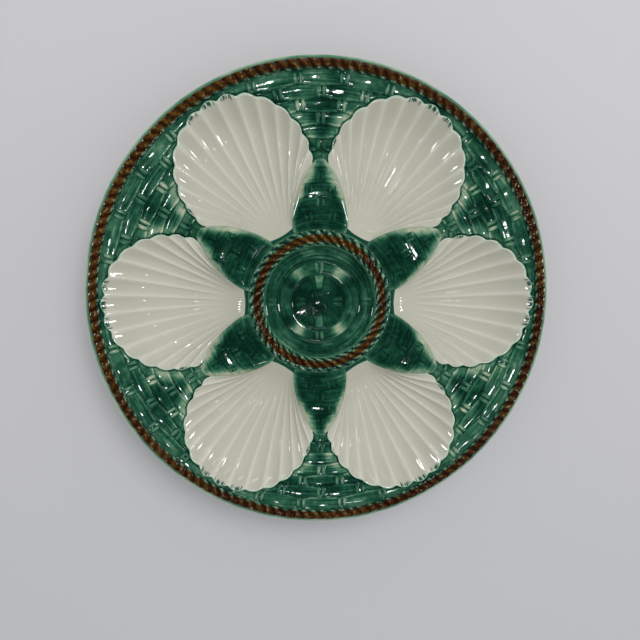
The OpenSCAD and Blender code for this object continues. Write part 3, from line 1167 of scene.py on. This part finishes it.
def shell_surface(u, v):
    """The inside of a shell on +X, with its apron in front and its lip rolled over behind."""
    s = 2 * u - 1
    w = np.clip((v - apron_share) / (lip_share - apron_share), 0, 1)
    t = lerp(w, 0.5 - 0.5 * np.cos(math.pi * w), row_crowding)
    x, y = shell_plan(s, t)
    reach = np.hypot(*(np.array(shell_plan(s, np.ones_like(s))) - np.array(shell_plan(s, 0 * s))))
    crest = 1 - lip_w / reach
    deep = np.clip(t / crest, 0, 1)
    side = np.clip(np.abs(s) / bowl_side, 0, 1)
    bowl = (1 - np.abs(2 * deep - 1) ** floor_flatness) * (1 - side ** 2) ** floor_roundness
    fade = ease(*flutes_from, t)
    ridge = flute_ridge(s) ** ridge_sharpness * (1 - ease(0.97, 1, np.abs(s)))
    flute = flute_h * fade * ridge * (1 - flutes_end_fall * ease(*flutes_end, deep))
    over = np.clip((v - lip_share) / (1 - lip_share), 0, 1)
    roll = roll_h * over ** 2 + crest_roll_h * ease(crest, 1, t)
    z = lip_line(s, t) - well_depth * bowl + flute - roll + shell_unevenness * waver(x, y)
    # The apron's rows are drawn inwards to its end, and the first of them goes down to the web.
    apron = np.clip(1 - v / apron_share, 0, 1)
    drawn_in = lerp(1, apron_end_r / np.hypot(x, y), np.clip(apron * 1.2 - 0.2, 0, 1))
    x, y = x * drawn_in, y * drawn_in
    z = np.where(apron > 0, web_z + (z - web_z) * (apron < 0.3), z)
    # Where the green glaze ran: outside the lip, on its outer half, on the apron and the sides.
    tint = np.maximum(ease(0.0, 0.6, over), lip_green * ease(crest, lerp(crest, 1, 0.6), t))
    tint = np.maximum(tint, ease(0.0, 0.2, apron))
    tint = np.maximum(tint, side_green * ease(bowl_side, 1, np.abs(s)))
    # Brush marks point inwards from the three lobes nearest the rim, and from two at the sides.
    angle = np.abs(s) * math.degrees(corner_a)
    lobes = (1 - ease(*tip_lobes_to, angle)) + side_lobe_share * band(angle, *side_lobes)
    ticks = band(reach * (1 - t), *tick_reach) * lobes
    ticks = ticks * (1 - ridge_skip * ease(0.3, 0.8, flute_ridge(s)))
    edge_map = (corner_a * s * shell_edge_r, reach * t)
    return {
        "x": x, "y": y, "z": z, "relief": ridge * fade, "tint": tint,
        "ticks": ticks, "edge_map": edge_map,
    }


shell = moulded_block("scallop_well_1", shell_columns, shell_rows, shell_surface, whole=True)
glaze_six(shell, "scallop_well_{}", white_glaze, "white_glaze", "shell_well_{}")
print("scallop:", faces_of(shell), "faces, floor at", round(points(shell)[:, 2].min(), 2))

# %% [markdown]
# ## Pads between the shells
# Each pad is a swollen teardrop of the same basket, between the straight sides of two shells.
# Its border follows those sides, so the pad is drawn by distance from the axis and by the angle
# from its own middle. The splints are wider here, and pairs of stakes cross in the middle of
# one and at the sides of the next.

# %% Pad shape
pad_splint_r = 43.0
pad_pitch = 7.0
pad_arch = 2.6
pad_end_share = 0.3
pad_flatness = 6
pad_columns = 90
pad_rows = 110
# A pad comes up out of the hub's rope, from inside of it, over this width.
pad_start_r = pad_r - 0.5
pad_start_w = 4.9
pad_tip_drop = 0.5
# Its pale sides get wider outwards, between two radii.
pad_pale_r = (46, 66)
pad_pale_w = (2.5, 7.5)
# How far the glaze is wiped at the sides, from the hub outwards, at the tip and at the start.
pad_side_wipe = (0.55, 1.2)
pad_tip_wipe = 0.9
pad_start_wipe = 0.3
# The relief that the glaze reads, as on the panels. It is lowest along the middle.
pad_level = 0.42
pad_border_level = 0.45
pad_inner_edge_rise = 0.16
pad_outer_edge_fall = 0.12
pad_covered_fall = 0.16
pad_middle_fall = 0.28
# The weave shows only faintly in a pad, and its stakes hardly at all.
pad_unevenness = 0.03
pad_weave_h = 0.09
pad_pinch = 0.08
pad_wave_share = 0.05
pad_stake_sink = 0.18
pad_stake_step = 6.4
# A pad has stakes on four splints, and their glaze isn't paler than the splints'.
pad_stake_rows = 4
pad_paleness = 0.0
# The line of a shell's side, which is also the pad's border.
side_points = 60
side_t = np.linspace(0, 1, side_points)
side_x, side_y = shell_plan(np.ones_like(side_t), side_t)
side_r = np.hypot(side_x, side_y)
side_half_a = well_a / 2 - np.arctan2(side_y, side_x)


def pad_parts(r, a):
    """Share of the way out, share across, and the smooth height of a pad."""
    t = np.interp(r, side_r, side_t)
    half = np.interp(r, side_r, side_half_a)
    across = np.clip(a / half, -1, 1)
    swell = lerp(pad_end_share, 1, np.sin(math.pi * t))
    swell = swell * np.clip((r - pad_start_r) / pad_start_w, 0, 1)
    smooth = lip_line(np.ones_like(t), t) + pad_crown * swell * (1 - across ** pad_flatness)
    return t, across, smooth


def pad_surface(u, v):
    """A pad on +X, from the hub's rope out to its tip between two shells."""
    r = lerp(pad_r, side_r[-1], v)
    half = np.interp(r, side_r, side_half_a)
    share = 2 * u - 1
    a = share * half
    t, across, smooth = pad_parts(r, a)
    aside = a * r
    f, row, covered = weave(r, aside, pad_splint_r, pad_pitch, pad_wave_share, pad_stake_step)
    rise = splint_relief(f, covered, pad_weave_h, pad_pinch)
    clear = (1 - ease(0.72, 0.98, np.abs(across))) * (1 - ease(0.9, 0.99, t))
    clear = clear * ease(pad_r, pad_r + 1.5, r)
    z = smooth + (rise + pad_unevenness * waver(aside, r)) * clear
    r = r + pad_arch * ease(0.75, 1, t) * (1 - share ** 2)
    z = z - pad_tip_drop * ease(0.985, 1, t)
    from_side = (1 - np.abs(across)) * half * r
    pale_w = lerp(*pad_pale_w, ease(*pad_pale_r, r))
    tint = (1 - ease(0.1, 1.2, from_side / pale_w)) * lerp(*pad_side_wipe, ease(48, 62, r))
    tint = np.maximum(tint, pad_tip_wipe * ease(0.86, 0.97, t))
    tint = np.maximum(tint, pad_start_wipe * (1 - ease(pad_r, pad_r + 1.6, r)))
    edge_line, edge_pool = splint_edges(f)
    relief = pad_level + pad_inner_edge_rise * edge_line - pad_outer_edge_fall * edge_pool
    relief = relief - pad_covered_fall * ease(0.0, 0.6, covered)
    relief = lerp(pad_border_level, relief, clear) - pad_middle_fall * (1 - across ** 2)
    return {
        "x": r * np.cos(a), "y": r * np.sin(a), "z": z, "relief": relief, "tint": tint,
        "grain": (aside, r + grain_step * row),
    }


pad = moulded_block("web_pad_1_dressed", pad_columns, pad_rows, pad_surface, whole=False)
pad.data.transform(between_wells)


def pad_stake_height(r, a):
    return pad_parts(r, a)[2] - pad_stake_sink


def pad_stake_places():
    """Two stakes at the sides of one splint, and one in the middle of the next."""
    places = []
    for row in range(pad_stake_rows):
        r = pad_splint_r + (row + 0.5) * pad_pitch
        for side in ((0,) if row % 2 else (-1, 1)):
            places.append((r, side * pad_stake_step / r, pad_paleness))
    return places


pad_stakes = lay_stakes(
    "pad_stakes", pad_stake_places(), pad_stake_height, pad_pitch * 0.9, bare=0.22,
)
pad_stakes.data.transform(between_wells)
select_only(pad)
pad_stakes.select_set(True)
bpy.ops.object.join()
glaze_six(pad, "web_pad_{}_dressed", green_glaze, "green_glaze", "web_pad_{}")
print("pad:", faces_of(pad), "faces")

# %% [markdown]
# ## Centre well
# The middle well is round too, so its section is spun, with rings like those of a round basket's
# bottom. Then its points are moved a little up and down, for the fine ribs that run out from
# the button, and pairs of stakes are laid across its middle, its ring and its wall.

# %% Centre well
hub_floor_z = 8.6
button_r = 4.3
button_h = 0.9
inner_ring_r = 15.75
outer_ring_r = 23.3
hub_rings = 80
# Radius and height from the button, over the middle, the ring and the wall, to the web.
hub_shape = [
    (0, hub_floor_z + button_h),
    (2.5, hub_floor_z + 0.85),
    (button_r - 0.8, hub_floor_z + 0.55),
    (button_r, hub_floor_z),
    (inner_ring_r - 0.7, hub_floor_z - 0.35),
    (inner_ring_r, hub_floor_z + 0.35),
    (outer_ring_r - 0.7, hub_floor_z + 0.1),
    (outer_ring_r, hub_floor_z + 0.9),
    (27.15, 11.4),
    (30.1, 13.2),
    (hub_r, web_z),
]


def hub_height(r):
    return np.interp(r, *zip(*hub_shape))


hub_outline = [(float(r), float(hub_height(r))) for r in np.linspace(0, hub_r, hub_rings)]
hub_outline = [(0, hub_under_z), (hub_r, hub_under_z)] + hub_outline[::-1]
hub = spun("centre_well", hub_outline)
print("spun centre well:", faces_of(hub), "faces")

# %% Ribs and glaze of the centre well
rib_h = 0.15
ring_h = 0.12
hub_unevenness = 0.05
swelling_h = 0.13
swelling_x, swelling_y, swelling_w = -13, -5.8, 3
# Degrees from the upright line, for the ribs that fan out at both sides of it.
rib_fan = (11, 16, 50, 56)
rib_step = 8.5

spots = points(hub)
r, a = np.hypot(spots[:, 0], spots[:, 1]), np.arctan2(spots[:, 1], spots[:, 0])
front = spots[:, 2] > hub_under_z + 0.5
in_middle = band(r, button_r, button_r + 2, inner_ring_r - 1.5, inner_ring_r - 0.3)
in_ring = band(r, inner_ring_r, inner_ring_r + 1, outer_ring_r - 1.6, outer_ring_r - 0.5)
on_wall = band(r, outer_ring_r, outer_ring_r + 1.2, hub_r - 1.5, hub_r - 0.2)
upright = np.degrees(np.arccos(np.clip(np.abs(np.sin(a)), 0, 1)))
fan = band(upright, *rib_fan)
level = ease(62, 70, upright)
rib = np.abs(np.cos(math.pi * (upright - rib_fan[0]) / rib_step))
relief_h = in_middle * fan * rib_h * rib ** 2 + ring_h * (in_ring + on_wall)
spots[:, 2] += np.where(front, relief_h, 0)
# A low swelling towards the ring catches the lamp.
from_swelling = np.hypot(spots[:, 0] - swelling_x, spots[:, 1] - swelling_y)
swelling = swelling_h * np.exp(-(from_swelling / swelling_w) ** 2)
spots[:, 2] += np.where(front, swelling + hub_unevenness * waver(spots[:, 0], spots[:, 1]), 0)
move_points(hub, *spots.T)

# Relief and tint as the green glaze reads them: pale rings, wedge, patches and lip.
rings = np.exp(-((r - inner_ring_r) / 0.4) ** 2) + np.exp(-((r - outer_ring_r) / 0.4) ** 2)
pale_lip = np.exp(-((r - hub_r + 0.3) / 0.5) ** 2)
wedge = in_middle * (1 - ease(8, 12, upright)) * ease(6, 9, r)
patch = in_ring * np.exp(-((upright - 36) / 12) ** 2) + 0.35 * in_ring * level
relief = in_middle * (0.35 * fan * rib - 0.1) + in_ring * 0.2 + on_wall * 0.45 + 0.25 * rings
paint(hub, "relief", np.clip(relief, 0, 1))
paint(hub, "tint", np.clip(0.75 * wedge + 1.1 * patch + 0.2 * rings + 0.7 * pale_lip, 0, 1.2))
# The cane runs round in the rings, and the middle has its ribs instead.
circle = np.column_stack((outer_ring_r * np.cos(a), r, outer_ring_r * np.sin(a)))
paint(hub, "grain", np.where((r < inner_ring_r)[:, None], 0.15 * circle, circle) * MM)
print("ribs and rings on", int(front.sum()), "points")

# %% Stakes of the centre well
hub_stake_sink = 0.05
hub_stake_length = 6.4
wall_stake_length = 6.0
ring_stake_r = 19.4
middle_stake_r = 10.6
wall_stake_r = 26.8


def hub_stake_height(r, a):
    return hub_height(r) - hub_stake_sink


hub_places = [(ring_stake_r, math.radians(d), 0.3) for d in (90, 270)]
hub_places += [(middle_stake_r, math.radians(d), 0.08) for d in (0, 180)]
wall_places = [(wall_stake_r, math.radians(d), 0.2) for d in (0, 180)]
hub_stakes = lay_stakes("hub_stakes", hub_places, hub_stake_height, hub_stake_length, bare=0.35)
wall_stakes = lay_stakes("wall_stakes", wall_places, hub_stake_height, wall_stake_length, bare=0.3)
face_outwards(hub)
select_only(hub)
hub_stakes.select_set(True)
wall_stakes.select_set(True)
bpy.ops.object.join()
glaze_piece(hub, green_glaze, "green_glaze", "hub_well")
print("centre well:", faces_of(hub), "faces")

# %% [markdown]
# ## Ropes
# A rope starts as a round section that is spun round the plate. The strands are lobes that
# slant as they go over it, with a sharp crease between them, so each ring of the mesh is
# swung round the plate to lie along its strand. The underside is flat on its ledge.

# %% Ropes
rope_widest_share = 0.35
section_points = 28
crease_share = 0.72
rope_crease = math.radians(75)
brown_fray = 0.3
brown_soft = 1


def laid_rope(
    name, creases, rings, slant, ring_r, width, seat_z, top_z, lean, brown_from, brown_to,
):
    """A rope with a number of creases, and rings of the mesh for each. A crease goes through
    the slant, in degrees round the plate, on its way over the rope. Lean moves the crest
    inwards, as a share of half the width. Brown lies between two radii."""
    around = np.linspace(0, 2 * math.pi, section_points + 1)
    outline = [(ring_r + width / 2 * math.cos(c), width / 2 * math.sin(c)) for c in around]
    rope = spun(name, outline, creases * rings)
    spots = points(rope)
    a = np.arctan2(spots[:, 1], spots[:, 0])
    section = np.arctan2(spots[:, 2], np.hypot(spots[:, 0], spots[:, 1]) - ring_r)
    strand = np.abs(np.cos(creases / 2 * a))
    size = lerp(crease_share, 1, strand ** 0.5)
    across = size * np.cos(section)
    r = ring_r + width / 2 * (across - lean * (1 - across ** 2))
    high = (top_z - seat_z) * lerp(rope_widest_share, 1, size * np.sin(section))
    a = a - math.radians(slant) * (np.abs(section) / math.pi - 0.5)
    move_points(rope, r * np.cos(a), r * np.sin(a), seat_z + np.maximum(0, high))
    frayed_r = r + brown_fray * waver(7 * a * ring_r, 0 * a)
    paint(rope, "relief", strand)
    paint(rope, "tint", band(
        frayed_r, brown_from - brown_soft, brown_from + brown_soft,
        brown_to - brown_soft, brown_to + brown_soft,
    ))
    face_outwards(rope, rope_crease)
    return rope


rim_rope = laid_rope(
    "rim_rope_dressed", creases=138, rings=10, slant=2.5,
    ring_r=rim_rope_r, width=rim_rope_w, seat_z=rim_z, top_z=rim_rope_top_z,
    lean=0.0, brown_from=118.2, brown_to=123.6,
)
glaze_piece(rim_rope, rope_glaze, "brown_glaze", "rim_rope")
hub_rope = laid_rope(
    "hub_rope_dressed", creases=42, rings=14, slant=21,
    ring_r=hub_rope_r, width=hub_rope_w, seat_z=web_z, top_z=hub_rope_top_z,
    lean=0.22, brown_from=33.0, brown_to=36.8,
)
glaze_piece(hub_rope, rope_glaze, "brown_glaze", "hub_rope")
print("ropes:", faces_of(rim_rope), "and", faces_of(hub_rope), "faces")

# %% [markdown]
# ## Floor and light
# The plate lies on a plain pale sheet. Its near side is painted a little darker: painted shade,
# as of the light falling off there. It is large, so that its edges lie far outside the picture
# and only the plate's shadow shows on it.

# %% Floor
floor_size = 6
floor_roughness = 0.9
# Painted shade: the sheet is darker at near_y and paler at far_y, as of light falling off towards the
# near side.
near_y = -0.16
far_y = 0.12


def pale_floor():
    material, tree, shader = new_material("pale_floor")
    place = add(tree, "ShaderNodeTexCoord").outputs["Object"]
    spot = add(tree, "ShaderNodeSeparateXYZ", {0: place}).outputs["Y"]
    away = add(tree, "ShaderNodeMapRange", {
        "Value": spot, "From Min": near_y, "From Max": far_y,
    }).outputs["Result"]
    # This ramp from the near side to the far side is painted shade.
    sheet = add(tree, "ShaderNodeValToRGB", {"Fac": away}, stops=[
        (0.0, "#B8B9BD"),
        (1.0, "#C0BFC2"),
    ]).outputs["Color"]
    tree.links.new(sheet, shader.inputs["Base Color"])
    shader.inputs["Roughness"].default_value = floor_roughness
    return material


deselect()
bpy.ops.mesh.primitive_plane_add(size=floor_size)
floor = bpy.context.object
floor.name = "floor"
floor.data.materials.append(pale_floor())
print("floor:", floor_size, "metres wide")

# %% [markdown]
# ## Lamps
# Glaze needs two kinds of light. A soft lamp and a pale room show its colour evenly, and small
# bright things mirrored in it show that it is wet-looking glass. So most lamps here do only one
# of the two: the soft lamp lights the plate and isn't mirrored, and the long low lamp and the
# windows are mirrored and light nothing. The small lamp overhead does both.

# %% Lamps
# Name, place, width, height, watts, whether it lights the plate and whether the glaze shows it.
lamps = (
    ("small_lamp", (0.045, -0.14, 1.4), 0.065, 0.03, 0.5, True, True),
    ("long_lamp", (0.2, 1.2, 0.6), 1.0, 0.07, 0.9, False, True),
    ("right_window", (2.9, 0.2, 0.7), 0.5, 0.4, 18, False, True),
    ("left_window", (-2.85, 0.4, 0.65), 0.5, 0.4, 18, False, True),
    ("front_window", (0.9, -0.7, 1.4), 0.12, 0.05, 1.0, False, True),
    ("soft_lamp", (0.42, 0.65, 1.25), 0.7, 0.7, 8.6, True, False),
)
for name, spot, width, height, watts, lights, shows in lamps:
    data = bpy.data.lights.new(name, "AREA")
    data.shape = "RECTANGLE"
    data.size = width
    data.size_y = height
    data.energy = watts
    light = bpy.data.objects.new(name, data)
    light.location = spot
    # An area light shines along its own -Z, so +Z points away from the plate.
    light.rotation_euler = Vector(spot).to_track_quat("Z", "Y").to_euler()
    light.visible_diffuse = lights
    light.visible_glossy = shows
    bpy.context.scene.collection.objects.link(light)
print("lamps:", len(lamps))

# %% [markdown]
# ## Room
# The room is a plain world. It looks pale to the camera, fills the shadows evenly, and is nearly
# black in reflections, so that the dark greens stay deep.

# %% Room
mirrored_strength = 0.06
fill_strength = 0.75

world = bpy.data.worlds.new("room")
world.use_nodes = True
bpy.context.scene.world = world
room = world.node_tree
path = add(room, "ShaderNodeLightPath").outputs
seen, mirrored, fill = [
    add(room, "ShaderNodeBackground", {"Color": colour(shade), "Strength": strength}).outputs[0]
    for shade, strength in (
        ("#CDCCCE", 1.0), ("#FFFFFF", mirrored_strength), ("#FFFFFF", fill_strength),
    )
]
lit = add(room, "ShaderNodeMixShader", {
    0: path["Is Glossy Ray"], 1: fill, 2: mirrored,
}).outputs[0]
whole_room = add(room, "ShaderNodeMixShader", {
    0: path["Is Camera Ray"], 1: lit, 2: seen,
}).outputs[0]
room.links.new(whole_room, room.nodes["World Output"].inputs["Surface"])
print("room of strength", fill_strength, "and", mirrored_strength, "in reflections")
